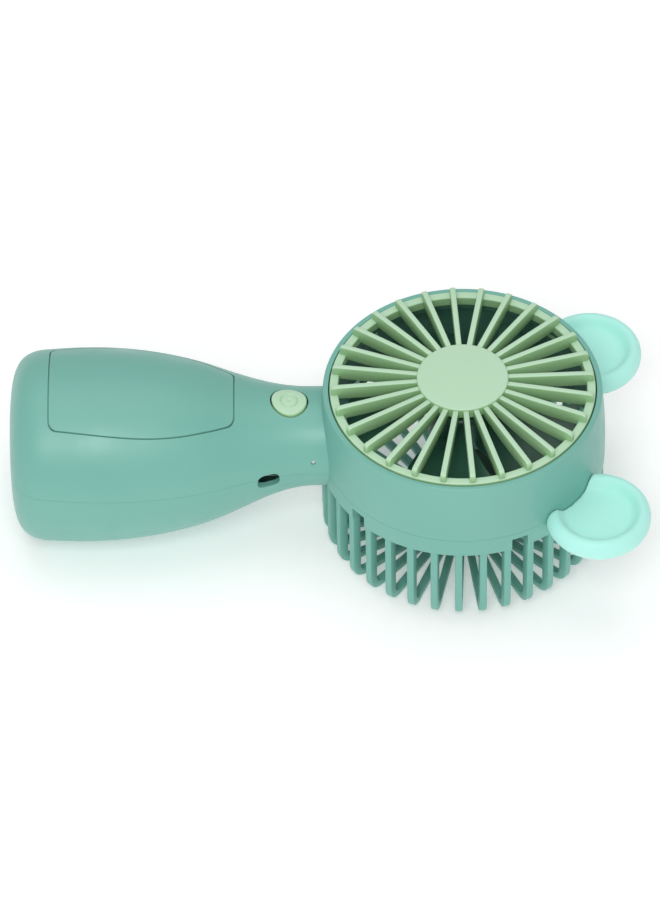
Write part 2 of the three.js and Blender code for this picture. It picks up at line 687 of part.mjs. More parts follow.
// Three wound poles on one core, turned to leave the shaft a running bore.
function armature() {
  const poles = [0, 1, 2].map((k) => {
    const angle = (k * 2 * Math.PI) / 3 + Math.PI / 6;
    const shape = new THREE.Shape();
    shape.absarc(0, 0, 8.4, angle - 0.9, angle + 0.9, false);
    shape.lineTo(6.8 * Math.cos(angle + 0.85), 6.8 * Math.sin(angle + 0.85));
    shape.lineTo(3.4 * Math.cos(angle + 0.3), 3.4 * Math.sin(angle + 0.3));
    shape.lineTo(3.4 * Math.cos(angle - 0.3), 3.4 * Math.sin(angle - 0.3));
    shape.lineTo(6.8 * Math.cos(angle - 0.85), 6.8 * Math.sin(angle - 0.85));
    return raised(shape, -33.6, -27.4, 5);
  });
  const core = rodZ(0, 0, -33.6, -27.4, 4.2, SHAFT_SIDES);
  return join([core, ...poles]).subtract(rodZ(0, 0, -40, 0, SHAFT_R + 0.06, SHAFT_SIDES));
}

function commutator() {
  return tubeZ(0, 0, -35.4, -33.9, 2.2, SHAFT_R + 0.06, SHAFT_SIDES);
}

function motorClamp() {
  const profile = [
    [MOTOR_R + GAP, -25.1], [19.2, -25.1], [19.2, -24.1], [14, -24.1], [14, -22.6], [6, -22.6],
    [6, MOTOR_TOP_Z + GAP], [MOTOR_R + GAP, MOTOR_TOP_Z + GAP], [MOTOR_R + GAP, -25.1]];
  const holes = MOTOR_SCREWS.map(([x, y]) => rodZ(x, y, -30, -20, SCREW_R + GAP, POST_SIDES));
  return turned(profile, MOTOR_SIDES).subtract(join(holes));
}

function motorScrew([x, y]) {
  const head = rodZ(x, y, -23.8, -22.6, SCREW_HEAD_R - 0.2, POST_SIDES);
  const shank = rodZ(x, y, -31.5, -23.7, SCREW_R, POST_SIDES);
  const slot = block(x - 0.3, x + 0.3, y - 1.3, y + 1.3, -23, -20);
  return head.add(shank).subtract(slot);
}

// ---------- battery ----------
const TRAY_BOTTOM_Z = CELL_Z - CELL_R - 2;
const TRAY_X0 = CELL_X0 - 4.8;
const TRAY_X1 = CELL_X0 + CELL_LENGTH + 3.4;

function batteryTray() {
  const outer = block(TRAY_X0, TRAY_X1, -CELL_R - 2, CELL_R + 2, TRAY_BOTTOM_Z, CELL_Z + 3);
  const well = block(TRAY_X0 + 1.6, TRAY_X1 - 1.6, -CELL_R - GAP, CELL_R + GAP, CELL_Z - 2, BIG);
  const cradle = rodX(TRAY_X0 + 1.6, TRAY_X1 - 1.6, 0, CELL_Z, CELL_R + GAP, 32);
  return outer.subtract(well).subtract(cradle);
}

function batteryCell() {
  const x0 = CELL_X0;
  const x1 = CELL_X0 + CELL_LENGTH;
  return rodX(x0, x1 - 1.2, 0, CELL_Z, CELL_R, 32).add(rodX(x1 - 1.5, x1, 0, CELL_Z, 3.2, 16));
}

function contactPlate() {
  const x = TRAY_X1 - 1.6 - GAP;
  return block(x - 0.6, x, -5, 5, CELL_Z - 5, CELL_Z + 5);
}

// A conical coil spring between the tray's end wall and the cell.
function contactSpring() {
  const turns = 3;
  const reach = 2.1;
  const x0 = TRAY_X0 + 1.6 + GAP + 0.45;
  const points = [];
  for (let i = 0; i <= turns * 8; i += 1) {
    const t = i / (turns * 8);
    const angle = 2 * Math.PI * turns * t;
    const radius = THREE.MathUtils.lerp(5.2, 2.6, t);
    const [y, z] = [radius * Math.cos(angle), CELL_Z + radius * Math.sin(angle)];
    points.push(new THREE.Vector3(x0 + reach * t, y, z));
  }
  const section = new THREE.Shape();
  section.absarc(0, 0, 0.35, 0, 2 * Math.PI);
  const extrudePath = new THREE.CatmullRomCurve3(points);
  const options = { steps: turns * 12, extrudePath, curveSegments: 2 };
  return toSolid(new THREE.ExtrudeGeometry(section, options));
}

// ---------- electronics ----------
const BOARD_SCREWS = [[-53.5, 8.2], [-53.5, -8.2]];

function circuitBoard() {
  const z0 = BOARD_TOP_Z - BOARD_THICK;
  const plate = raised(roundedRectangle(
    BOARD_X0, BOARD_X1, -BOARD_HALF_WIDTH, BOARD_HALF_WIDTH, 1.5), z0, BOARD_TOP_Z, 2);
  const holes = BOARD_SCREWS.map(([x, y]) => rodZ(x, y, -9, 0, SCREW_R + GAP, POST_SIDES));
  return plate.subtract(join(holes));
}

function boardScrew([x, y]) {
  const radius = SCREW_R - 0.2;
  const head = rodZ(x, y, BOARD_TOP_Z + GAP, BOARD_TOP_Z + 1.4, SCREW_HEAD_R - 0.3, POST_SIDES);
  return head.add(rodZ(x, y, BOARD_TOP_Z - 6.5, BOARD_TOP_Z + 0.5, radius, POST_SIDES));
}

const USB_FRONT_Y = -15.4;
const USB_BACK_Y = -9.8;
const USB_BOTTOM_Z = BOARD_TOP_Z + 0.1;
const USB_TOP_Z = USB_BOTTOM_Z + 2.9;

function usbShell() {
  const outer = block(USB_X - 3.75, USB_X + 3.75, USB_FRONT_Y, USB_BACK_Y, USB_BOTTOM_Z, USB_TOP_Z);
  const mouth = block(
    USB_X - 3.4, USB_X + 3.4, USB_FRONT_Y - 1, USB_BACK_Y - 0.4, USB_BOTTOM_Z + 0.35, USB_TOP_Z - 0.35);
  return outer.subtract(mouth);
}

function usbTongue() {
  const bottom = USB_BOTTOM_Z + 1.1;
  return block(USB_X - 2, USB_X + 2, USB_FRONT_Y + 0.8, USB_BACK_Y - 0.7, bottom, bottom + 0.7);
}

function onBoard(x0, x1, y0, y1, height) {
  return block(x0, x1, y0, y1, BOARD_TOP_Z + 0.1, BOARD_TOP_Z + 0.1 + height);
}

const SWITCH_TOP_Z = BOARD_TOP_Z + 4.2;
const PLUNGER_BOTTOM_Z = SWITCH_TOP_Z - 1.4;

function switchBody() {
  const base = onBoard(BUTTON_X - 3, BUTTON_X + 3, -3, 3, SWITCH_TOP_Z - BOARD_TOP_Z - 0.1);
  const wellFloor = PLUNGER_BOTTOM_Z - BUTTON_TRAVEL - GAP;
  return base.subtract(rodZ(BUTTON_X, 0, wellFloor, SWITCH_TOP_Z + 1, 1.9, 20));
}

function switchPlunger() {
  return rodZ(BUTTON_X, 0, PLUNGER_BOTTOM_Z, 9.5, 1.6, 20);
}

function statusLens() {
  return rodY(LENS_X, -15.9, -11.4, LENS_Z, LENS_R, 12).intersect(handleOuter);
}

function statusLamp() {
  return onBoard(LENS_X - 2.4, LENS_X - 0.8, -11.6, -10.35, 0.9);
}

// ---------- wiring ----------
function motorLead(side) {
  const y = 1.15 * side;
  return wire([
    [-13.4, y, -36.6], [-20, y, -36.9], [-32, y, -36.9], [-40, y, -36.6], [-43.6, y, -33.5], [-43.9, y, -26],
    [-43.9, y, -16], [-44.4, y, -11], [-48, y, -9.4], [-53.5, 1.6 * side, -9.3], [-57, 3.4 * side, -8.5],
    [-58.5, 3.6 * side, -7.3]], 0.65);
}

function batteryLead(side) {
  const y = 7.4 * side;
  return wire([
    [TRAY_X1 + 0.5, 6 * side, 4.5], [-74.6, 6.2 * side, 3.2], [-73.2, 7 * side, -2], [-72.6, y, -7.2],
    [-70.5, y, -8.9], [-67.5, y, -7.5]], 0.65);
}

// ---------- assembly ----------
const fan = new THREE.Group();

function add(name, solid, material) {
  const mesh = new THREE.Mesh(toGeometry(solid), material);
  mesh.name = name;
  fan.add(mesh);
}

add('front_shell', frontShell(), teal);
add('back_shell', backShell(), teal);
add('front_grille', frontGrille(), green);
add('battery_cover', batteryCover(), teal);
add('power_button', powerButton(), green);
add('ear_left', ear(1), mint);
add('ear_right', ear(-1), mint);
add('impeller', impeller(), darkGreen);
add('motor_can', motorCan(), steel);
add('motor_end_cap', motorEndCap(), black);
add('motor_shaft', rodZ(0, 0, -38.4, 14.5, SHAFT_R, SHAFT_SIDES), steel);
add('front_bearing', bearing(-24.9, -22.4), copper);
add('rear_bearing', bearing(-38.2, -36.4), copper);
add('magnet_left', magnet(1), magnetGrey);
add('magnet_right', magnet(-1), magnetGrey);
add('armature', armature(), copper);
add('commutator', commutator(), copper);
add('motor_clamp', motorClamp(), black);
MOTOR_SCREWS.forEach((place, i) => add(`motor_screw_${i + 1}`, motorScrew(place), steel));
add('battery_tray', batteryTray(), black);
add('battery_cell', batteryCell(), cellWrap);
add('contact_plate', contactPlate(), steel);
add('contact_spring', contactSpring(), steel);
add('circuit_board', circuitBoard(), boardGreen);
BOARD_SCREWS.forEach((place, i) => add(`board_screw_${i + 1}`, boardScrew(place), steel));
add('usb_shell', usbShell(), steel);
add('usb_tongue', usbTongue(), black);
add('switch_body', switchBody(), black);
add('switch_plunger', switchPlunger(), black);
add('charge_chip', onBoard(-68.6, -64.4, 2.2, 6.4, 1.2), black);
add('storage_coil', onBoard(-63.4, -60.2, 5.4, 9, 2.4), magnetGrey);
add('filter_capacitor', onBoard(-68.6, -66.2, -4, -1, 1.4), copper);
add('status_lamp', statusLamp(), clearLens);
add('status_lens', statusLens(), clearLens);
add('motor_lead_red', motorLead(1), wireRed);
add('motor_lead_black', motorLead(-1), wireBlack);
add('battery_lead_red', batteryLead(1), wireRed);
add('battery_lead_black', batteryLead(-1), wireBlack);
[...HANDLE_SCREWS, ...HEAD_SCREWS].forEach(([x, y], i) => add(`case_screw_${i + 1}`, caseScrew(x, y), steel));

// Lay the fan down: tip the handle end down, then set the lowest point on the ground and centre it.
fan.rotation.y = -REST_TILT;
fan.updateMatrixWorld(true);
const extent = new THREE.Box3();
fan.children.forEach((mesh) => extent.union(new THREE.Box3().setFromObject(mesh, true)));
fan.position.set(-(extent.min.x + extent.max.x) / 2, -(extent.min.y + extent.max.y) / 2, -extent.min.z);

export default fan;
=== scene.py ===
# Looks for a handheld electric fan: smooth moulded shells, a ribbed grille, a caged back and two soft ears.
# Every shape is drawn in the fan's own axes, in millimetres: X from the handle towards the ears, Z the air
# axis, and the origin on the air axis inside the head, just above the shells' parting line.
import json
import math

import bmesh
import bpy
from mathutils import Matrix, Vector


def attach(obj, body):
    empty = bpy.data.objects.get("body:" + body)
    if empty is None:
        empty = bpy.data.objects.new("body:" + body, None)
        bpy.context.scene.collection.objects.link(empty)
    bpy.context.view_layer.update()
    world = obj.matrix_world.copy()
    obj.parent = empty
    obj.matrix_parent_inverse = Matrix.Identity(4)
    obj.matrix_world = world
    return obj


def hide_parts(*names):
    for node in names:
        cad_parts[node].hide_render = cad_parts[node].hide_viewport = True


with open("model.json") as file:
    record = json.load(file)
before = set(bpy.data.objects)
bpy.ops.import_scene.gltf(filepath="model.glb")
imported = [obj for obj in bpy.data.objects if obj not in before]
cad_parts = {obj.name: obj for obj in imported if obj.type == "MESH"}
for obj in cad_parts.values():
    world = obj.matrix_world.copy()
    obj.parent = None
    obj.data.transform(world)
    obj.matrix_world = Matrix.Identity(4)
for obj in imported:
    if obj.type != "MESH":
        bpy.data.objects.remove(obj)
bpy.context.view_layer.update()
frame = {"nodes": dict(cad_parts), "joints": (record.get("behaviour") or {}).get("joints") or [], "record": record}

# ---------- the fan's own axes, read from the joint that the impeller turns on ----------
spin = next(joint for joint in frame["joints"] if joint["name"] == "impeller_spin")
air_axis = Vector(spin["axis"])
side_axis = Vector((0, 1, 0))
own_turn = Matrix((side_axis.cross(air_axis), side_axis, air_axis)).transposed().to_4x4()
OWN = Matrix.Translation(spin["pos_m"]) @ own_turn @ Matrix.Scale(0.001, 4)

# ---------- driving dimensions, millimetres in the fan's own axes ----------
WALL = 2.2
MIDDLE = WALL / 2
SEAM = 0.07
SEAM_Z = -2.7
REST_TILT = math.radians(3.3)
TONGUE_BELOW = 1.5
TONGUE_ABOVE = 1.2
HEAD_TONGUE_INNER_R = 46.0
HEAD_TONGUE_OUTER_R = 47.75
FAR = 90
ROUND = 192

HEAD_R = 48.0
HEAD_RIM_R = 46.6
HEAD_BORE_R = 45.4
RIM_Z = 20.7
RIM_BORE_R = 44.8
LEDGE_Z = 17.5
LEDGE_INNER_R = 42.0

CAGE_R = 47.6
CAGE_BOTTOM_Z = -41.6
CAGE_CORNER_R = 5.0
CAGE_RIB_COUNT = 36
CAGE_FIRST_RIB = math.radians(-92.8)
CAGE_RIB_WIDTH = 2.45
CAGE_RIB_DEPTH = 3.2
SLOT_TOP_Z = -10.1
TALL_SLOT_RISE = 4.9
TALL_SLOTS = (2.5, -4.5, 16.5, 23.5)
HUB_R = 19.5
HUB_TOP_Z = -39.0
CHANNEL_HALF_WIDTH = 4.2
CHANNEL_TOP_Z = -4.0
CHANNEL_INNER_R = 42.0
CHANNEL_FLOOR_Z = -35.6
MOTOR_CUP_R = 14.6
MOTOR_CUP_BORE_R = 12.5
MOTOR_CUP_TOP_Z = -25.4
MOTOR_POST_R = 2.5
MOTOR_SCREW_R = 16.9
MOTOR_SCREW_ANGLES = (60, 300, 213)

RING_TOP_Z = 21.3
RING_OUTER_R = 44.4
RING_INNER_R = 41.5
RING_BOTTOM_Z = 17.8
GRILLE_RIB_COUNT = 28
GRILLE_FIRST_RIB = math.radians(3.1)
GRILLE_RIB_WIDTH = 1.9
GRILLE_RIB_END_R = 44.0
GRILLE_RIB_END_Z = 24.5
CLIP_INNER_R = 42.5
CLIP_OUTER_R = 43.9
CLIP_BOTTOM_Z = 13.0
CLIP_WIDTH = 6.0
CLIP_ANGLES = tuple(math.radians(angle) for angle in (45, 135, 225, 315))
CLIP_GAP = 0.3
DISC_R = 15.3
DISC_TOP_Z = 26.0

HANDLE_BASE_X = -151.6
HANDLE_END_X = -44.0
HOLLOW_END_X = -49.4
MIDDLE_END_X = -49.2
HANDLE_AXIS_Z = -3.9
NECK_AXIS_Z = -1.5
NECK_END_R = 46.2

COVER_X0 = -137.9
COVER_X1 = -76.1
COVER_BASE_HALF_WIDTH = 18.6
COVER_BELLY_HALF_WIDTH = 22.0
COVER_NECK_HALF_WIDTH = 11.8
COVER_CORNER_R = 2.6
COVER_GAP = 0.42
COVER_LIP = 1.6

BUTTON_X = -57.9
BUTTON_R = 5.95
BUTTON_PROUD = 0.6
BUTTON_GAP = 0.5
BUTTON_BASE_Z = 9.6
BUTTON_RING_R = 2.75
BUTTON_FLANGE = 1.1

USB_X = -65.2
USB_Z = -2.9
USB_HOLE_R = 2.8
USB_HOLE_HALF_WIDTH = 3.7
LENS_X = -50.2
LENS_Z = 2.5
LENS_HOLE_R = 0.85

EAR_X = 44.3
EAR_Y = 37.5
EAR_Z = -3.8
EAR_R = 17.5
EAR_BITE_R = HEAD_R + 0.1
EAR_BOTTOM_Z = -3.8
EAR_DISH_Z = 0.9
EAR_RIM_R = 14.7
EAR_RIM_Z = 4.8
EAR_VOXEL = 0.00032
EAR_RELAX_ROUNDS = 14

SHAFT_R = 1.06
IMPELLER_HUB_R = 11.5
IMPELLER_R = 38.8
IMPELLER_Z = 10.0
IMPELLER_BLADES = 5
IMPELLER_FIRST_BLADE = math.radians(30)
IMPELLER_HUB_BOTTOM_Z = 1.6
IMPELLER_HUB_TOP_Z = 16.2
IMPELLER_HUB_FLOOR_Z = 12.6
IMPELLER_BOSS_R = 3.2
IMPELLER_BOSS_BOTTOM_Z = 3
BLADE_THICKNESS = 1.3
BLADE_BOW = 1.4

SCREW_WELL_Z = -5.9
SCREW_WELL_R = 2.4
HEAD_POST_R = 3.2
FRONT_POST_R = 3
BACK_POST_R = 3.4
HANDLE_SCREWS = ((-144.2, -15), (-144.2, 15), (-74, -13.6), (-74, 13.6))
HEAD_SCREW_R = 42.7
HEAD_SCREW_ANGLE = math.radians(62)
HEAD_SCREWS = tuple(
    (HEAD_SCREW_R * math.cos(HEAD_SCREW_ANGLE), side * HEAD_SCREW_R * math.sin(HEAD_SCREW_ANGLE))
    for side in (-1, 1))


# ---------- mesh tools ----------
def new_mesh(vertices, faces):
    """A closed mesh with doubled points merged and its faces pointing out."""
    mesh = bpy.data.meshes.new("shape")
    mesh.from_pydata([tuple(v) for v in vertices], [], faces)
    form = bmesh.new()
    form.from_mesh(mesh)
    bmesh.ops.remove_doubles(form, verts=form.verts, dist=1e-4)
    bmesh.ops.dissolve_degenerate(form, dist=1e-5, edges=form.edges)
    bmesh.ops.recalc_face_normals(form, faces=form.faces)
    form.to_mesh(mesh)
    form.free()
    return mesh


def combined(base, tools, operation):
    """base after one boolean operation with each tool in turn."""
    objects = [bpy.data.objects.new("tool", mesh) for mesh in (base, *tools)]
    for item in objects:
        bpy.context.scene.collection.objects.link(item)
    for tool in objects[1:]:
        modifier = objects[0].modifiers.new("boolean", "BOOLEAN")
        modifier.operation = operation
        modifier.solver = "MANIFOLD"
        modifier.object = tool
    depsgraph = bpy.context.evaluated_depsgraph_get()
    result = bpy.data.meshes.new_from_object(objects[0].evaluated_get(depsgraph))
    for item in objects:
        bpy.data.objects.remove(item)
    return result


def cut(base, *tools):
    return combined(base, tools, "DIFFERENCE")


def joined(base, *tools):
    return combined(base, tools, "UNION")


def kept(base, *tools):
    return combined(base, tools, "INTERSECT")


def gathered(*meshes):
    """Several closed meshes as one, without cutting them where they run into each other."""
    form = bmesh.new()
    for mesh in meshes:
        form.from_mesh(mesh)
    whole = bpy.data.meshes.new("shape")
    form.to_mesh(whole)
    form.free()
    return whole


def bevelled(mesh, width, segments=2):
    """The mesh with all of its sharp edges rounded."""
    form = bmesh.new()
    form.from_mesh(mesh)
    sharp = [edge for edge in form.edges if edge.calc_face_angle(0) > math.radians(30)]
    bmesh.ops.bevel(
        form, geom=sharp, offset=width, segments=segments, profile=0.5, affect="EDGES", clamp_overlap=True)
    form.to_mesh(mesh)
    form.free()
    return mesh


def bezier(points, steps):
    a, b, c, d = (Vector(p) for p in points)
    result = []
    for i in range(steps + 1):
        t = i / steps
        s = 1 - t
        result.append(s**3 * a + 3 * s * s * t * b + 3 * s * t * t * c + t**3 * d)
    return result


def rounded(points, radius, steps=5):
    """A closed outline with its corners rounded. radius is one number, or one for each corner."""
    radii = [radius] * len(points) if isinstance(radius, (int, float)) else radius
    result = []
    for i, corner in enumerate(points):
        here = Vector(corner)
        back = Vector(points[i - 1]) - here
        ahead = Vector(points[(i + 1) % len(points)]) - here
        reach = min(radii[i], 0.49 * back.length, 0.49 * ahead.length)
        if reach < 1e-3:
            result.append(here)
            continue
        start = here + back.normalized() * reach
        end = here + ahead.normalized() * reach
        for k in range(steps + 1):
            t = k / steps
            result.append((1 - t) ** 2 * start + 2 * t * (1 - t) * here + t * t * end)
    return result


def turned(profile, sides=ROUND):
    """A closed outline of (radius, height) turned about the air axis."""
    count = len(profile)
    vertices = []
    faces = []
    for i in range(sides):
        angle = 2 * math.pi * i / sides
        for radius, height in profile:
            vertices.append((radius * math.cos(angle), radius * math.sin(angle), height))
    for i in range(sides):
        for j in range(count):
            a, b = i * count, (i + 1) % sides * count
            k = (j + 1) % count
            faces.append((a + j, b + j, b + k, a + k))
    return new_mesh(vertices, faces)


def prism(outline, z0, z1):
    """An outline in the XY plane, raised from z0 to z1."""
    count = len(outline)
    vertices = [(x, y, z) for z in (z0, z1) for x, y in outline]
    faces = [tuple(range(count)), tuple(range(2 * count - 1, count - 1, -1))]
    for i in range(count):
        k = (i + 1) % count
        faces.append((i, k, count + k, count + i))
    return new_mesh(vertices, faces)


def radial_plate(outline, width, angle, bevel=0.0):
    """A flat outline of (radius, height), given a width and turned to an angle about the air axis."""
    plate = prism(outline, -width / 2, width / 2)
    if bevel:
        bevelled(plate, bevel)
    plate.transform(Matrix.Rotation(angle, 4, "Z") @ Matrix.Rotation(math.pi / 2, 4, "X"))
    return plate


def rod(x, y, z0, z1, radius, sides=48):
    outline = []
    for i in range(sides):
        angle = 2 * math.pi * i / sides
        outline.append((x + radius * math.cos(angle), y + radius * math.sin(angle)))
    return prism(outline, z0, z1)


def block(x0, x1, y0, y1, z0, z1):
    return prism([(x0, y0), (x1, y0), (x1, y1), (x0, y1)], z0, z1)


def smooth_step(x, low, high):
    t = min(1.0, max(0.0, (x - low) / (high - low)))
    return t * t * (3 - 2 * t)


# ---------- materials ----------
def shader(name):
    material = bpy.data.materials.new(name)
    material.use_nodes = True
    return material, material.node_tree.nodes, material.node_tree.links


def noise(nodes, links, scale, detail=3.0, roughness=0.5):
    coordinates = nodes.get("coordinates") or nodes.new("ShaderNodeTexCoord")
    coordinates.name = "coordinates"
    texture = nodes.new("ShaderNodeTexNoise")
    texture.inputs["Scale"].default_value = scale
    texture.inputs["Detail"].default_value = detail
    texture.inputs["Roughness"].default_value = roughness
    links.new(coordinates.outputs["Object"], texture.inputs["Vector"])
    return texture.outputs["Fac"]


def ranged(nodes, links, source, low, high, start=0.3, end=0.7):
    ramp = nodes.new("ShaderNodeMapRange")
    ramp.inputs["From Min"].default_value = start
    ramp.inputs["From Max"].default_value = end
    ramp.inputs["To Min"].default_value = low
    ramp.inputs["To Max"].default_value = high
    links.new(source, ramp.inputs["Value"])
    return ramp.outputs["Result"]


def mixed(nodes, links, share, first, second):
    mix = nodes.new("ShaderNodeMix")
    mix.data_type = "RGBA"
    links.new(share, mix.inputs["Factor"])
    for socket, colour in ((mix.inputs[6], first), (mix.inputs[7], second)):
        if isinstance(colour, tuple):
            socket.default_value = (*colour, 1)
        else:
            links.new(colour, socket)
    return mix.outputs[2]


def vector_maths(nodes, links, operation, first, second=None):
    maths = nodes.new("ShaderNodeVectorMath")
    maths.operation = operation
    links.new(first, maths.inputs[0])
    if second:
        maths.inputs[1].default_value = second
    return maths.outputs["Value" if operation in ("LENGTH", "DOT_PRODUCT") else "Vector"]


def bumped(nodes, links, shade, height, distance, strength):
    bump = nodes.new("ShaderNodeBump")
    bump.inputs["Distance"].default_value = distance
    bump.inputs["Strength"].default_value = strength
    links.new(height, bump.inputs["Height"])
    links.new(bump.outputs["Normal"], shade.inputs["Normal"])


def moulded_plastic(name, colour, deep, roughness, painted_side_shade=None, grain=2600, strength=0.12, scatter=0.0):
    """Satin moulded plastic: slow colour drift, a fine spark-eroded grain, and uneven gloss; given a shade colour,
    it also gets painted shade on faces turned away from the air axis.
    """
    material, nodes, links = shader(name)
    shade = nodes["Principled BSDF"]
    drift = ranged(nodes, links, noise(nodes, links, 22.0, 2.0), 0.0, 1.0)
    base = mixed(nodes, links, drift, colour, deep)
    # painted shade: faces turned away from the air axis are mixed towards a darker green
    if painted_side_shade:
        normal = nodes.new("ShaderNodeNewGeometry").outputs["Normal"]
        facing = vector_maths(nodes, links, "DOT_PRODUCT", normal, tuple(air_axis))
        painted_side_shade_share = ranged(nodes, links, facing, 1.0, 0.0, 0.15, 0.8)
        base = mixed(nodes, links, painted_side_shade_share, base, painted_side_shade)
    links.new(base, shade.inputs["Base Color"])
    gloss = ranged(nodes, links, noise(nodes, links, 160.0), roughness - 0.04, roughness + 0.06)
    links.new(gloss, shade.inputs["Roughness"])
    if scatter:
        shade.inputs["Subsurface Weight"].default_value = scatter
        shade.inputs["Subsurface Radius"].default_value = (0.7, 1.0, 0.8)
        shade.inputs["Subsurface Scale"].default_value = 0.002
    bumped(nodes, links, shade, noise(nodes, links, grain, 2.0), 0.00006, strength)
    return material


def soft_silicone(name, colour, deep):
    """Matt silicone: a powdery sheen, a little light let into it, and hardly any grain."""
    material, nodes, links = shader(name)
    shade = nodes["Principled BSDF"]
    drift = ranged(nodes, links, noise(nodes, links, 40.0, 2.0), 0.0, 1.0)
    links.new(mixed(nodes, links, drift, colour, deep), shade.inputs["Base Color"])
    gloss = ranged(nodes, links, noise(nodes, links, 300.0), 0.52, 0.62)
    links.new(gloss, shade.inputs["Roughness"])
    shade.inputs["Subsurface Weight"].default_value = 0.25
    shade.inputs["Subsurface Radius"].default_value = (0.6, 1.0, 0.9)
    shade.inputs["Subsurface Scale"].default_value = 0.004
    shade.inputs["Sheen Weight"].default_value = 0.15
    shade.inputs["Sheen Roughness"].default_value = 0.5
    bumped(nodes, links, shade, noise(nodes, links, 1800.0), 0.00005, 0.15)
    return material


def metal(name, colour, deep, roughness, stretch=(1, 1, 30)):
    """Drawn or turned metal: fine lines along one way, and a dull film in places."""
    material, nodes, links = shader(name)
    shade = nodes["Principled BSDF"]
    coordinates = nodes.new("ShaderNodeTexCoord")
    mapping = nodes.new("ShaderNodeMapping")
    mapping.inputs["Scale"].default_value = stretch
    links.new(coordinates.outputs["Object"], mapping.inputs["Vector"])
    lines = nodes.new("ShaderNodeTexNoise")
    lines.inputs["Scale"].default_value = 500.0
    links.new(mapping.outputs["Vector"], lines.inputs["Vector"])
    film = ranged(nodes, links, noise(nodes, links, 90.0), 0.0, 1.0)
    links.new(mixed(nodes, links, film, colour, deep), shade.inputs["Base Color"])
    shade.inputs["Metallic"].default_value = 1.0
    gloss = ranged(nodes, links, lines.outputs["Fac"], roughness - 0.06, roughness + 0.12)
    links.new(gloss, shade.inputs["Roughness"])
    bumped(nodes, links, shade, lines.outputs["Fac"], 0.00004, 0.25)
    return material


def printed_board(name):
    """Solder mask over copper: darker lanes where the copper stops."""
    material, nodes, links = shader(name)
    shade = nodes["Principled BSDF"]
    coordinates = nodes.new("ShaderNodeTexCoord")
    lanes = nodes.new("ShaderNodeTexBrick")
    lanes.inputs["Scale"].default_value = 260.0
    lanes.inputs["Mortar Size"].default_value = 0.05
    links.new(coordinates.outputs["Object"], lanes.inputs["Vector"])
    links.new(mixed(nodes, links, lanes.outputs["Fac"], (0.02, 0.17, 0.055), (0.008, 0.07, 0.025)),
              shade.inputs["Base Color"])
    gloss = ranged(nodes, links, noise(nodes, links, 400.0), 0.22, 0.36)
    links.new(gloss, shade.inputs["Roughness"])
    return material


def clear_plastic(name):
    """Milky light guide."""
    material, nodes, links = shader(name)
    shade = nodes["Principled BSDF"]
    cloud = ranged(nodes, links, noise(nodes, links, 700.0), 0.0, 1.0)
    links.new(mixed(nodes, links, cloud, (0.92, 0.95, 0.93), (0.8, 0.86, 0.84)), shade.inputs["Base Color"])
    shade.inputs["Roughness"].default_value = 0.18
    shade.inputs["Transmission Weight"].default_value = 0.35
    return material


def painted_bore_shade(nodes, links):
    """Share of painted shade: 1 on the bore of the head, which the air runs through, and 0 on every outer face, in
    metres.
    """
    coordinates = nodes["coordinates"].outputs["Object"]
    centre = tuple(OWN.translation)
    offset = vector_maths(nodes, links, "SUBTRACT", coordinates, centre)
    sideways = vector_maths(nodes, links, "CROSS_PRODUCT", offset, tuple(air_axis))
    radius = vector_maths(nodes, links, "LENGTH", sideways)
    height = vector_maths(nodes, links, "DOT_PRODUCT", offset, tuple(air_axis))
    masks = (
        ranged(nodes, links, radius, 1.0, 0.0, 0.0456, 0.0458),
        ranged(nodes, links, height, 0.0, 1.0, -0.012, -0.006),
        ranged(nodes, links, height, 1.0, 0.0, 0.0184, 0.0194))
    result = masks[0]
    for mask in masks[1:]:
        product = nodes.new("ShaderNodeMath")
        product.operation = "MULTIPLY"
        links.new(result, product.inputs[0])
        links.new(mask, product.inputs[1])
        result = product.outputs["Value"]
    return result


def body_plastic(name):
    """The teal of the shells, with painted shade darkening the bore of the head."""
    material = moulded_plastic(name, (0.185, 0.47, 0.395), (0.172, 0.45, 0.375), 0.4)
    nodes, links = material.node_tree.nodes, material.node_tree.links
    socket = nodes["Principled BSDF"].inputs["Base Color"]
    outside = socket.links[0].from_socket
    # painted shade: the bore is mixed towards a dark green where the mask is 1
    links.new(mixed(nodes, links, painted_bore_shade(nodes, links), outside, (0.04, 0.14, 0.095)), socket)
    return material


MATERIALS = {
    "body_teal": body_plastic("teal_plastic"),
    # the pale green of the grille and button, with painted shade on faces that turn away from the air axis
    "grille_green": moulded_plastic(
        "pale_green_plastic", (0.51, 0.74, 0.53), (0.49, 0.72, 0.505), 0.42, painted_side_shade=(0.33, 0.56, 0.29),
        scatter=0.1),
    "ear_mint": soft_silicone("mint_silicone", (0.48, 0.92, 0.83), (0.46, 0.89, 0.8)),
    "impeller_dark": moulded_plastic("dark_green_plastic", (0.026, 0.1, 0.066), (0.02, 0.085, 0.055), 0.35),
    "motor_can": metal("plated_can", (0.62, 0.62, 0.6), (0.5, 0.5, 0.48), 0.32),
    "steel": metal("plain_steel", (0.6, 0.61, 0.62), (0.45, 0.46, 0.47), 0.28),
    "bearing_bronze": metal("sintered_bronze", (0.5, 0.32, 0.15), (0.4, 0.25, 0.11), 0.45, (1, 1, 1)),
    "copper": metal("enamelled_copper", (0.72, 0.34, 0.14), (0.6, 0.26, 0.1), 0.3, (1, 30, 1)),
    "magnet": moulded_plastic("ferrite", (0.05, 0.05, 0.055), (0.035, 0.035, 0.04), 0.6),
    "cell_wrap": moulded_plastic("blue_film", (0.03, 0.15, 0.44), (0.02, 0.12, 0.38), 0.28, grain=900),
    "board": printed_board("solder_mask"),
    "wire_red": moulded_plastic("red_insulation", (0.48, 0.02, 0.013), (0.4, 0.015, 0.01), 0.4),
    "wire_black": moulded_plastic("black_insulation", (0.011, 0.011, 0.012), (0.008, 0.008, 0.009), 0.4),
    "black_plastic": moulded_plastic("black_plastic", (0.012, 0.012, 0.013), (0.008, 0.008, 0.009), 0.45),
    "clear_lens": clear_plastic("milky_clear"),
}


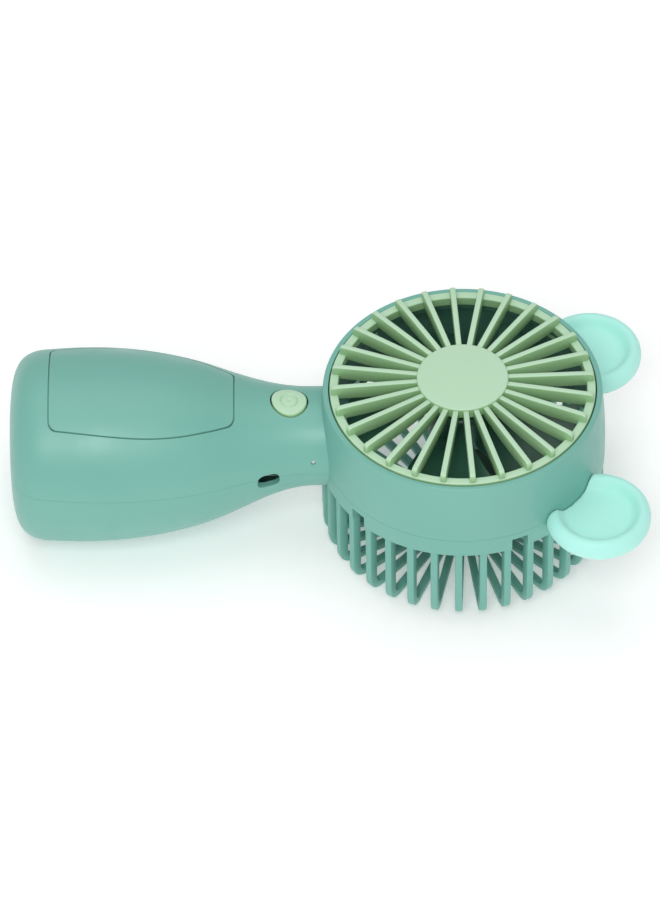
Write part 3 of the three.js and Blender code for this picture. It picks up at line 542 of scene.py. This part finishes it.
def piece(name, mesh, body, slot, nodes, smooth=32):
    """Puts a finished shape into the row frame, riding on its body in place of its CAD nodes."""
    mesh.transform(OWN)
    mesh.shade_smooth()
    mesh.set_sharp_from_angle(angle=math.radians(smooth))
    mesh.materials.clear()
    mesh.materials.append(MATERIALS[slot])
    item = bpy.data.objects.new(name, mesh)
    bpy.context.scene.collection.objects.link(item)
    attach(item, body)
    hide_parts(*nodes)
    return item


# ---------- camera ----------
def add_camera():
    """Looks down on the fan from in front of its long side, from two metres away, with a long lens."""
    distance = 2000.0
    elevation = math.radians(46.92)
    azimuth = math.radians(-0.4)
    roll = math.radians(1.22)
    shift_right = 44.17
    shift_up = 21.2
    side = Matrix.Rotation(-azimuth, 3, "Z")
    right = side @ Vector((1, 0, 0))
    up = side @ Vector((0, math.sin(elevation), math.cos(elevation)))
    look = side @ Vector((0, math.cos(elevation), -math.sin(elevation)))
    across = math.cos(roll) * right - math.sin(roll) * up
    upwards = math.sin(roll) * right + math.cos(roll) * up
    place = Vector((0, 0, RING_TOP_Z)) - shift_right * across - shift_up * upwards - distance * look
    camera = bpy.data.objects.new("camera", bpy.data.cameras.new("camera"))
    bpy.context.scene.collection.objects.link(camera)
    camera.data.sensor_fit = "VERTICAL"
    camera.data.sensor_height = 36.0
    camera.data.sensor_width = 36.0
    camera.data.lens = 240.0
    camera.data.clip_start = 0.1
    camera.data.clip_end = 20.0
    turn = own_turn.to_3x3() @ Matrix((across, upwards, -look)).transposed()
    camera.matrix_world = Matrix.Translation(OWN @ place) @ turn.to_4x4()
    bpy.context.scene.camera = camera


add_camera()


# ---------- handle form ----------
def handle_outline():
    """Points of (x, radius) from the base of the handle to the neck."""
    base = bezier(((HANDLE_BASE_X, 0), (-151.8, 23.7), (-151.4, 32), (-138, 32.2)), 22)
    belly = bezier(((-138, 32.2), (-122, 33.3), (-106, 32.5), (-88, 27.4)), 22)
    neck = bezier(((-88, 27.4), (-76, 23.9), (-64, 16.6), (-50, 16.7)), 24)
    return base + belly[1:] + neck[1:]


def handle_axis_z(x):
    return HANDLE_AXIS_Z + (NECK_AXIS_Z - HANDLE_AXIS_Z) * smooth_step(x, -84, -50)


def handle_section(inset):
    outline = handle_outline()
    section = [Vector((HANDLE_BASE_X + inset, 0))]
    for i in range(1, len(outline)):
        before = outline[i - 1]
        after = outline[min(i + 1, len(outline) - 1)]
        tangent = (after - before).normalized()
        section.append(outline[i] + inset * Vector((tangent.y, -tangent.x)))
    return section


def handle_form(inset, end_x=HANDLE_END_X, sides=ROUND):
    section = [point for point in handle_section(inset) if point.x < end_x - 0.5]
    section += [Vector((end_x, section[-1].y)), Vector((end_x, 0))]
    count = len(section)
    vertices = []
    faces = []
    for i in range(sides):
        angle = 2 * math.pi * i / sides
        for x, radius in section:
            vertices.append((x, radius * math.sin(angle), radius * math.cos(angle) + handle_axis_z(x)))
    for i in range(sides):
        for j in range(count):
            a = i * count
            b = (i + 1) % sides * count
            k = (j + 1) % count
            faces.append((a + j, b + j, b + k, a + k))
    return new_mesh(vertices, faces)


def handle_top_z(x, y, proud=0.0):
    """Height of the handle's skin above a point of the XY plane, near the neck."""
    section = handle_section(-proud)
    for a, b in zip(section, section[1:]):
        if a.x <= x <= b.x and b.x > a.x:
            radius = a.y + (b.y - a.y) * (x - a.x) / (b.x - a.x)
            return handle_axis_z(x) + math.sqrt(max(radius * radius - y * y, 0))
    raise ValueError("no skin there")


handle_outer = handle_form(0.0)
handle_inner = handle_form(WALL, HOLLOW_END_X)
handle_middle = handle_form(MIDDLE, MIDDLE_END_X)
neck_end = rod(0, 0, -FAR, FAR, NECK_END_R, ROUND)


def seam_z(x):
    """Height of the parting line: flat round the head, rising slowly along the handle."""
    return SEAM_Z + max(0.0, -NECK_END_R - x) * math.tan(REST_TILT)


def handle_slab(z0, z1):
    """A thick sheet that lies along the handle's parting plane, from z0 to z1 above it."""
    slab = block(-200, 200, -FAR, FAR, z0, z1)
    slab.transform(Matrix.Translation((-NECK_END_R, 0, SEAM_Z)) @ Matrix.Rotation(REST_TILT, 4, "Y"))
    return slab


def front_half():
    return handle_slab(SEAM / 2, FAR)


def back_half():
    return handle_slab(-FAR, -SEAM / 2)


def cover_outline(inset):
    x0 = COVER_X0 + inset
    x1 = COVER_X1 - inset
    base = COVER_BASE_HALF_WIDTH - inset
    belly = COVER_BELLY_HALF_WIDTH - inset
    neck = COVER_NECK_HALF_WIDTH - inset
    corner = COVER_CORNER_R
    near_corner = bezier((
        (x1, neck - corner), (x1, neck - corner * 0.4), (x1 - corner * 0.3, neck + corner * 0.14),
        (x1 - 0.9 * corner, neck + 0.42 * corner)), 8)
    side = bezier((near_corner[-1], (-98, belly), (-112, belly), (x0 + corner, base + 0.13 * corner)), 32)
    far_corner = bezier((
        side[-1], (x0 + corner * 0.4, base + 0.05 * corner), (x0, base - corner * 0.4),
        (x0, base - corner)), 8)
    half = near_corner + side[1:] + far_corner[1:]
    return half + [Vector((point.x, -point.y)) for point in reversed(half)]


def cover_opening(inset):
    return prism(cover_outline(inset), 5, FAR)


def usb_hole(clearance=0.0):
    corner = USB_HOLE_R + clearance
    half = USB_HOLE_HALF_WIDTH + clearance
    outline = rounded([(-half, -corner), (half, -corner), (half, corner), (-half, corner)], corner * 0.95, 8)
    slot = prism(outline, 14.2, 30)
    slot.transform(Matrix.Translation((USB_X, 0, USB_Z)) @ Matrix.Rotation(math.pi / 2, 4, "X"))
    return slot


def lens_hole():
    hole = rod(0, 0, 8, 30, LENS_HOLE_R, 32)
    hole.transform(Matrix.Translation((LENS_X, 0, LENS_Z)) @ Matrix.Rotation(math.pi / 2, 4, "X"))
    return hole


def grille_clips(grow, low, high, corner):
    """The snap clips under the grille's ring or, grown, the notches in the ledge that take them."""
    outline = rounded(
        [(CLIP_INNER_R - grow, low), (CLIP_OUTER_R + grow, low), (CLIP_OUTER_R + grow, high),
         (CLIP_INNER_R - grow, high)], corner)
    return [radial_plate(outline, CLIP_WIDTH + 2 * grow, angle) for angle in CLIP_ANGLES]


# ---------- front shell ----------
def head_front_wall():
    bottom = SEAM_Z + SEAM / 2
    profile = rounded(
        [(HEAD_R, bottom), (HEAD_R - 0.3, 8), (HEAD_RIM_R, RIM_Z), (RIM_BORE_R, RIM_Z),
         (RIM_BORE_R, LEDGE_Z), (LEDGE_INNER_R, LEDGE_Z), (LEDGE_INNER_R, LEDGE_Z - 1.9),
         (HEAD_BORE_R, LEDGE_Z - 4), (HEAD_BORE_R, bottom)],
        [0.12, 6, 0.7, 0.25, 0.2, 0.3, 0.3, 1, 0.1])
    return turned(profile)


def front_shell():
    half = kept(cut(handle_outer, handle_inner, neck_end), front_half())
    handle_posts = [
        kept(rod(x, y, seam_z(x) + SEAM / 2, 40, FRONT_POST_R), handle_middle) for x, y in HANDLE_SCREWS]
    head_posts = [rod(x, y, SEAM_Z + SEAM / 2, SEAM_Z + 4.4, HEAD_POST_R) for x, y in HEAD_SCREWS]
    whole = joined(half, head_front_wall(), *handle_posts, *head_posts)
    skin_recess = cut(cover_opening(0), handle_middle)
    button_hole = rod(BUTTON_X, 0, 5, 40, BUTTON_R + BUTTON_GAP, 96)
    clip_notches = grille_clips(CLIP_GAP, CLIP_BOTTOM_Z - 1, LEDGE_Z + 0.2, 0)
    holes = (cover_opening(COVER_LIP), usb_hole(), button_hole, lens_hole())
    return cut(whole, skin_recess, *holes, *clip_notches)


piece("front_shell_skin", front_shell(), "housing", "body_teal", ["front_shell"])


# ---------- back shell ----------
def head_back_wall():
    top = SEAM_Z - SEAM / 2
    profile = rounded(
        [(HEAD_R, top), (HEAD_R - 0.1, SLOT_TOP_Z), (HEAD_BORE_R, SLOT_TOP_Z), (HEAD_BORE_R, top)],
        [0.12, 0.4, 0.4, 0.1])
    return turned(profile)


def cage_rib_outline():
    inner = CAGE_CORNER_R - CAGE_RIB_DEPTH + 0.6
    inner_r = CAGE_R - CAGE_RIB_DEPTH
    top = SLOT_TOP_Z + 2
    return rounded(
        [(CAGE_R, top), (CAGE_R, CAGE_BOTTOM_Z), (HUB_R - 2, CAGE_BOTTOM_Z), (HUB_R - 2, HUB_TOP_Z),
         (inner_r, HUB_TOP_Z), (inner_r, top)],
        [0, CAGE_CORNER_R * 1.35, 0, 0, inner * 1.35, 0], 10)


def cage_rib_angle(k):
    return CAGE_FIRST_RIB + k * 2 * math.pi / CAGE_RIB_COUNT


def cage_ribs():
    outline = cage_rib_outline()
    return [radial_plate(outline, CAGE_RIB_WIDTH, cage_rib_angle(k), 0.3) for k in range(CAGE_RIB_COUNT)]


def tall_slots():
    span = 2 * math.pi * CAGE_R / CAGE_RIB_COUNT - CAGE_RIB_WIDTH - 0.2
    top = SLOT_TOP_Z + TALL_SLOT_RISE
    outline = [(HEAD_BORE_R - 1, SLOT_TOP_Z - 1), (HEAD_R + 2, SLOT_TOP_Z - 1), (HEAD_R + 2, top),
               (HEAD_BORE_R - 1, top)]
    return [radial_plate(outline, span, cage_rib_angle(k)) for k in TALL_SLOTS]


def lead_channel():
    outline = rounded(
        [(HUB_R - 2, CAGE_BOTTOM_Z + 0.9), (CAGE_R - 0.8, CAGE_BOTTOM_Z + 0.9), (CAGE_R - 0.8, CHANNEL_TOP_Z),
         (CHANNEL_INNER_R, CHANNEL_TOP_Z), (CHANNEL_INNER_R, CHANNEL_FLOOR_Z), (HUB_R - 2, CHANNEL_FLOOR_Z)],
        [0, 4, 0.4, 0.4, 2, 0])
    return radial_plate(outline, 2 * CHANNEL_HALF_WIDTH, math.pi, 0.3)


def motor_cup():
    profile = rounded(
        [(MOTOR_CUP_BORE_R, HUB_TOP_Z - 0.5), (MOTOR_CUP_R, HUB_TOP_Z - 0.5), (MOTOR_CUP_R, MOTOR_CUP_TOP_Z),
         (MOTOR_CUP_BORE_R, MOTOR_CUP_TOP_Z)],
        [0, 0, 0.3, 0.3])
    parts = [turned(profile, 96)]
    for angle in MOTOR_SCREW_ANGLES:
        x = MOTOR_SCREW_R * math.cos(math.radians(angle))
        y = MOTOR_SCREW_R * math.sin(math.radians(angle))
        parts.append(rod(x, y, HUB_TOP_Z - 0.5, MOTOR_CUP_TOP_Z, MOTOR_POST_R))
    return parts


def seam_tongue():
    """Runs inside the parting line, so that no light shows through it."""
    ring = cut(handle_form(WALL * 0.12, MIDDLE_END_X), handle_form(WALL * 0.8, HOLLOW_END_X), neck_end)
    return cut(kept(ring, handle_slab(-TONGUE_BELOW, TONGUE_ABOVE)), usb_hole(0.1))


def head_tongue():
    """The same inside the parting line of the head."""
    low = SEAM_Z - TONGUE_BELOW
    high = SEAM_Z + TONGUE_ABOVE
    return turned(rounded(
        [(HEAD_TONGUE_INNER_R, low), (HEAD_TONGUE_OUTER_R, low), (HEAD_TONGUE_OUTER_R, high),
         (HEAD_TONGUE_INNER_R, high)], 0.05))


def back_shell():
    half = kept(cut(handle_outer, handle_inner, neck_end), back_half())
    handle_posts = [
        kept(rod(x, y, -40, seam_z(x) - SEAM / 2, BACK_POST_R), handle_middle) for x, y in HANDLE_SCREWS]
    head_posts = [rod(x, y, -10, SEAM_Z - SEAM / 2, HEAD_POST_R) for x, y in HEAD_SCREWS]
    wells = [
        rod(x, y, -50, seam_z(x) + SCREW_WELL_Z, SCREW_WELL_R) for x, y in (*HANDLE_SCREWS, *HEAD_SCREWS)]
    hub = turned(rounded(
        [(0, CAGE_BOTTOM_Z), (HUB_R, CAGE_BOTTOM_Z), (HUB_R, HUB_TOP_Z), (0, HUB_TOP_Z)],
        [0, 0.6, 0.3, 0]), 128)
    grooves = (block(-44.9, -12, -2.4, 2.4, -38.2, -30), block(-44.9, -40, -2.4, 2.4, -38.3, -3))
    wire_pass = block(-51, -44, -3.2, 3.2, -11.4, -7.4)
    shell = joined(cut(half, usb_hole()), cut(head_back_wall(), *tall_slots()), *handle_posts, *head_posts)
    shell = cut(shell, *wells, wire_pass)
    cage = [*cage_ribs(), hub, *motor_cup(), cut(lead_channel(), *grooves)]
    return gathered(shell, seam_tongue(), head_tongue(), *cage)


piece("back_shell_skin", back_shell(), "housing", "body_teal", ["back_shell"])


# ---------- battery cover ----------
def battery_cover():
    skin = cut(kept(cover_opening(COVER_GAP), handle_outer), handle_form(MIDDLE - 0.3, HOLLOW_END_X))
    plug = cut(kept(cover_opening(COVER_GAP + COVER_LIP), handle_outer), handle_inner)
    return joined(skin, plug)


piece("battery_cover_skin", battery_cover(), "cover", "body_teal", ["battery_cover"])


# ---------- front grille ----------
def grille_rib_outline():
    return rounded(
        [(DISC_R - 1.2, DISC_TOP_Z - 4.6), (30, RING_BOTTOM_Z + 1.7), (RING_INNER_R + 1, RING_BOTTOM_Z + 1.7),
         (GRILLE_RIB_END_R, RING_TOP_Z - 1), (GRILLE_RIB_END_R, GRILLE_RIB_END_Z),
         (DISC_R - 1.2, DISC_TOP_Z - 0.7)],
        [0, 4, 0, 0, 1.5, 0])


def front_grille():
    ring = turned(rounded(
        [(RING_INNER_R, RING_BOTTOM_Z), (RING_OUTER_R, RING_BOTTOM_Z), (RING_OUTER_R, RING_TOP_Z),
         (RING_INNER_R, RING_TOP_Z)], [0.3, 0.3, 0.6, 0.6]))
    disc = turned(rounded(
        [(0, DISC_TOP_Z - 4), (DISC_R, DISC_TOP_Z - 4), (DISC_R, DISC_TOP_Z), (0, DISC_TOP_Z)],
        [0, 0.4, 0.7, 0]))
    outline = grille_rib_outline()
    ribs = []
    for k in range(GRILLE_RIB_COUNT):
        angle = GRILLE_FIRST_RIB + k * 2 * math.pi / GRILLE_RIB_COUNT
        ribs.append(radial_plate(outline, GRILLE_RIB_WIDTH, angle, 0.35))
    clips = grille_clips(0, CLIP_BOTTOM_Z, RING_BOTTOM_Z + 0.5, 0.3)
    return gathered(ring, disc, *ribs, *clips)


piece("front_grille_ribs", front_grille(), "grille", "grille_green", ["front_grille"])


# ---------- power button ----------
def power_button():
    """A round cap whose top follows the neck, with a pressed ring round a small dimple."""
    rings = 44
    sides = 96
    vertices = []
    faces = []
    edge_round = 0.7
    for i in range(rings + 1):
        radius = BUTTON_R * (i / rings) ** 0.85
        drop = 0.0
        if radius > BUTTON_R - edge_round:
            t = (radius - BUTTON_R + edge_round) / edge_round
            drop = edge_round * (1 - math.sqrt(max(0.0, 1 - t * t)))
        drop += 0.45 * math.exp(-(((radius - BUTTON_RING_R) / 0.26) ** 2))
        drop += 0.3 * math.exp(-((radius / 0.45) ** 2))
        for j in range(sides):
            angle = 2 * math.pi * j / sides
            x = BUTTON_X + radius * math.cos(angle)
            y = radius * math.sin(angle)
            vertices.append((x, y, handle_top_z(x, y, BUTTON_PROUD) - drop))
    for j in range(sides):
        angle = 2 * math.pi * j / sides
        vertices.append((BUTTON_X + BUTTON_R * math.cos(angle), BUTTON_R * math.sin(angle), BUTTON_BASE_Z))
    for i in range(rings + 1):
        for j in range(sides):
            k = (j + 1) % sides
            faces.append((i * sides + j, (i + 1) * sides + j, (i + 1) * sides + k, i * sides + k))
    faces.append(tuple((rings + 1) * sides + j for j in range(sides)))
    cap = new_mesh(vertices, faces)
    flange_top = BUTTON_BASE_Z + BUTTON_FLANGE
    flange = rod(BUTTON_X, 0, BUTTON_BASE_Z, flange_top, BUTTON_R + BUTTON_FLANGE, 96)
    return gathered(cap, flange)


piece("power_button_cap", power_button(), "button", "grille_green", ["power_button"], smooth=50)


# ---------- ears ----------
def ear(side):
    """A puffy pad with a thick raised rim and a shallow dish, bitten to lie against the head."""
    profile = []
    for points in (
        ((0, EAR_BOTTOM_Z), (8, EAR_BOTTOM_Z), (12, EAR_BOTTOM_Z), (14.2, -3.6)),
        ((14.2, -3.6), (16.6, -3.2), (EAR_R, -1.2), (EAR_R, 0.9)),
        ((EAR_R, 0.9), (EAR_R, 3.3), (16.2, 4.9), (EAR_RIM_R, EAR_RIM_Z)),
        ((EAR_RIM_R, EAR_RIM_Z), (12.9, 4.7), (12.6, 1.9), (10.6, 1.4)),
        ((10.6, 1.4), (8.4, EAR_DISH_Z), (4.0, EAR_DISH_Z), (0, EAR_DISH_Z)),
    ):
        profile += bezier(points, 10)[1:]
    profile.insert(0, Vector((0, EAR_BOTTOM_Z)))
    pad = turned(profile, 160)
    pad.transform(Matrix.Translation((EAR_X, side * EAR_Y, EAR_Z)))
    return cut(pad, rod(0, 0, -20, 20, EAR_BITE_R, 256))


def soften(item, voxel, rounds):
    """Remeshes a piece finely and relaxes it, so that its cut edges turn soft."""
    remesh = item.modifiers.new("remesh", "REMESH")
    remesh.mode = "VOXEL"
    remesh.voxel_size = voxel
    relax = item.modifiers.new("relax", "SMOOTH")
    relax.factor = 0.5
    relax.iterations = rounds
    depsgraph = bpy.context.evaluated_depsgraph_get()
    mesh = bpy.data.meshes.new_from_object(item.evaluated_get(depsgraph))
    item.modifiers.clear()
    mesh.materials.clear()
    mesh.materials.append(item.data.materials[0])
    item.data = mesh
    mesh.shade_smooth()


for name, side in (("ear_left", 1), ("ear_right", -1)):
    pad = piece(f"{name}_pad", ear(side), "housing", "ear_mint", [name])
    soften(pad, EAR_VOXEL, EAR_RELAX_ROUNDS)


# ---------- impeller ----------
def impeller_blade(turn):
    """One blade: sections wrapped round the air axis, steep at the hub and flatter at the tip."""
    rings = 18
    steps = 24
    vertices = []
    faces = []
    for i in range(rings + 1):
        t = i / rings
        radius = IMPELLER_HUB_R - 1 + (IMPELLER_R - IMPELLER_HUB_R + 1) * t
        half_angle = math.radians(27 - 2 * t)
        rise = 6.0 - 1.8 * t
        for face in (-1, 1):
            for j in range(steps + 1):
                s = 2 * j / steps - 1
                angle = turn + s * half_angle + 0.25 * t
                thin = BLADE_THICKNESS * (1 - 0.75 * abs(s) ** 6)
                z = IMPELLER_Z + rise * s - BLADE_BOW * (1 - s * s) + face * thin / 2
                vertices.append((radius * math.cos(angle), radius * math.sin(angle), z))
    row = 2 * (steps + 1)
    for i in range(rings):
        for j in range(steps):
            low = i * row + j
            high = low + steps + 1
            faces.append((low, low + 1, low + row + 1, low + row))
            faces.append((high, high + row, high + row + 1, high + 1))
        for j in (0, steps):
            low = i * row + j
            high = low + steps + 1
            faces.append((low, low + row, high + row, high))
    for i in (0, rings):
        for j in range(steps):
            low = i * row + j
            high = low + steps + 1
            faces.append((low, high, high + 1, low + 1))
    return new_mesh(vertices, faces)


def impeller():
    hub = turned(rounded(
        [(SHAFT_R, IMPELLER_BOSS_BOTTOM_Z), (IMPELLER_BOSS_R, IMPELLER_BOSS_BOTTOM_Z),
         (IMPELLER_BOSS_R, IMPELLER_HUB_FLOOR_Z), (IMPELLER_HUB_R - 1.5, IMPELLER_HUB_FLOOR_Z),
         (IMPELLER_HUB_R - 1.5, IMPELLER_HUB_BOTTOM_Z), (IMPELLER_HUB_R, IMPELLER_HUB_BOTTOM_Z),
         (IMPELLER_HUB_R, IMPELLER_HUB_TOP_Z), (SHAFT_R, IMPELLER_HUB_TOP_Z)],
        [0, 0.3, 0.5, 0.5, 0.2, 0.3, 3.0, 0.2], 8), 128)
    turns = [IMPELLER_FIRST_BLADE + k * 2 * math.pi / IMPELLER_BLADES for k in range(IMPELLER_BLADES)]
    return gathered(hub, *[impeller_blade(turn) for turn in turns])


piece("impeller_blades", impeller(), "rotor", "impeller_dark", ["impeller"])

# ---------- the CAD nodes that show as they are ----------
slot_of = {entry["node"]: entry["material_slot"] for entry in frame["record"]["subparts"]}
for name, node in frame["nodes"].items():
    node.data.materials.clear()
    node.data.materials.append(MATERIALS[slot_of[name]])


# ---------- floor and light ----------
def plain_surface(name, colour, glow):
    material, nodes, links = shader(name)
    shade = nodes["Principled BSDF"]
    speckle = ranged(nodes, links, noise(nodes, links, 60.0), 0.0, 1.0)
    darker = tuple(0.99 * c for c in colour)
    links.new(mixed(nodes, links, speckle, colour, darker), shade.inputs["Base Color"])
    shade.inputs["Roughness"].default_value = 0.9
    shade.inputs["Emission Color"].default_value = (1, 1, 1, 1)
    shade.inputs["Emission Strength"].default_value = glow
    return material


def add_floor():
    floor_mesh = new_mesh([(-4, -4, 0), (4, -4, 0), (4, 4, 0), (-4, 4, 0)], [(0, 1, 2, 3)])
    floor_mesh.materials.append(plain_surface("pale_floor", (0.92, 0.92, 0.92), 0.25))
    floor = bpy.data.objects.new("floor", floor_mesh)
    bpy.context.scene.collection.objects.link(floor)


def add_light(name, place, target, size, power):
    lamp = bpy.data.lights.new(name, "AREA")
    lamp.size = size
    lamp.energy = power
    item = bpy.data.objects.new(name, lamp)
    item.location = place
    item.rotation_mode = "QUATERNION"
    item.rotation_quaternion = (Vector(target) - Vector(place)).to_track_quat("-Z", "Y")
    bpy.context.scene.collection.objects.link(item)


def add_world():
    world = bpy.data.worlds.new("studio")
    world.use_nodes = True
    world.node_tree.nodes["Background"].inputs["Color"].default_value = (1, 1, 1, 1)
    world.node_tree.nodes["Background"].inputs["Strength"].default_value = 0.5
    bpy.context.scene.world = world


add_floor()
add_world()
add_light("overhead", (-0.1, 0.2, 1.3), (0, 0, 0.03), 1.0, 3.5)
add_light("front", (-0.15, -1.0, 1.2), (0, 0, 0.03), 0.6, 9.0)
bpy.context.scene.view_settings.view_transform = "Standard"

bpy.context.view_layer.update()
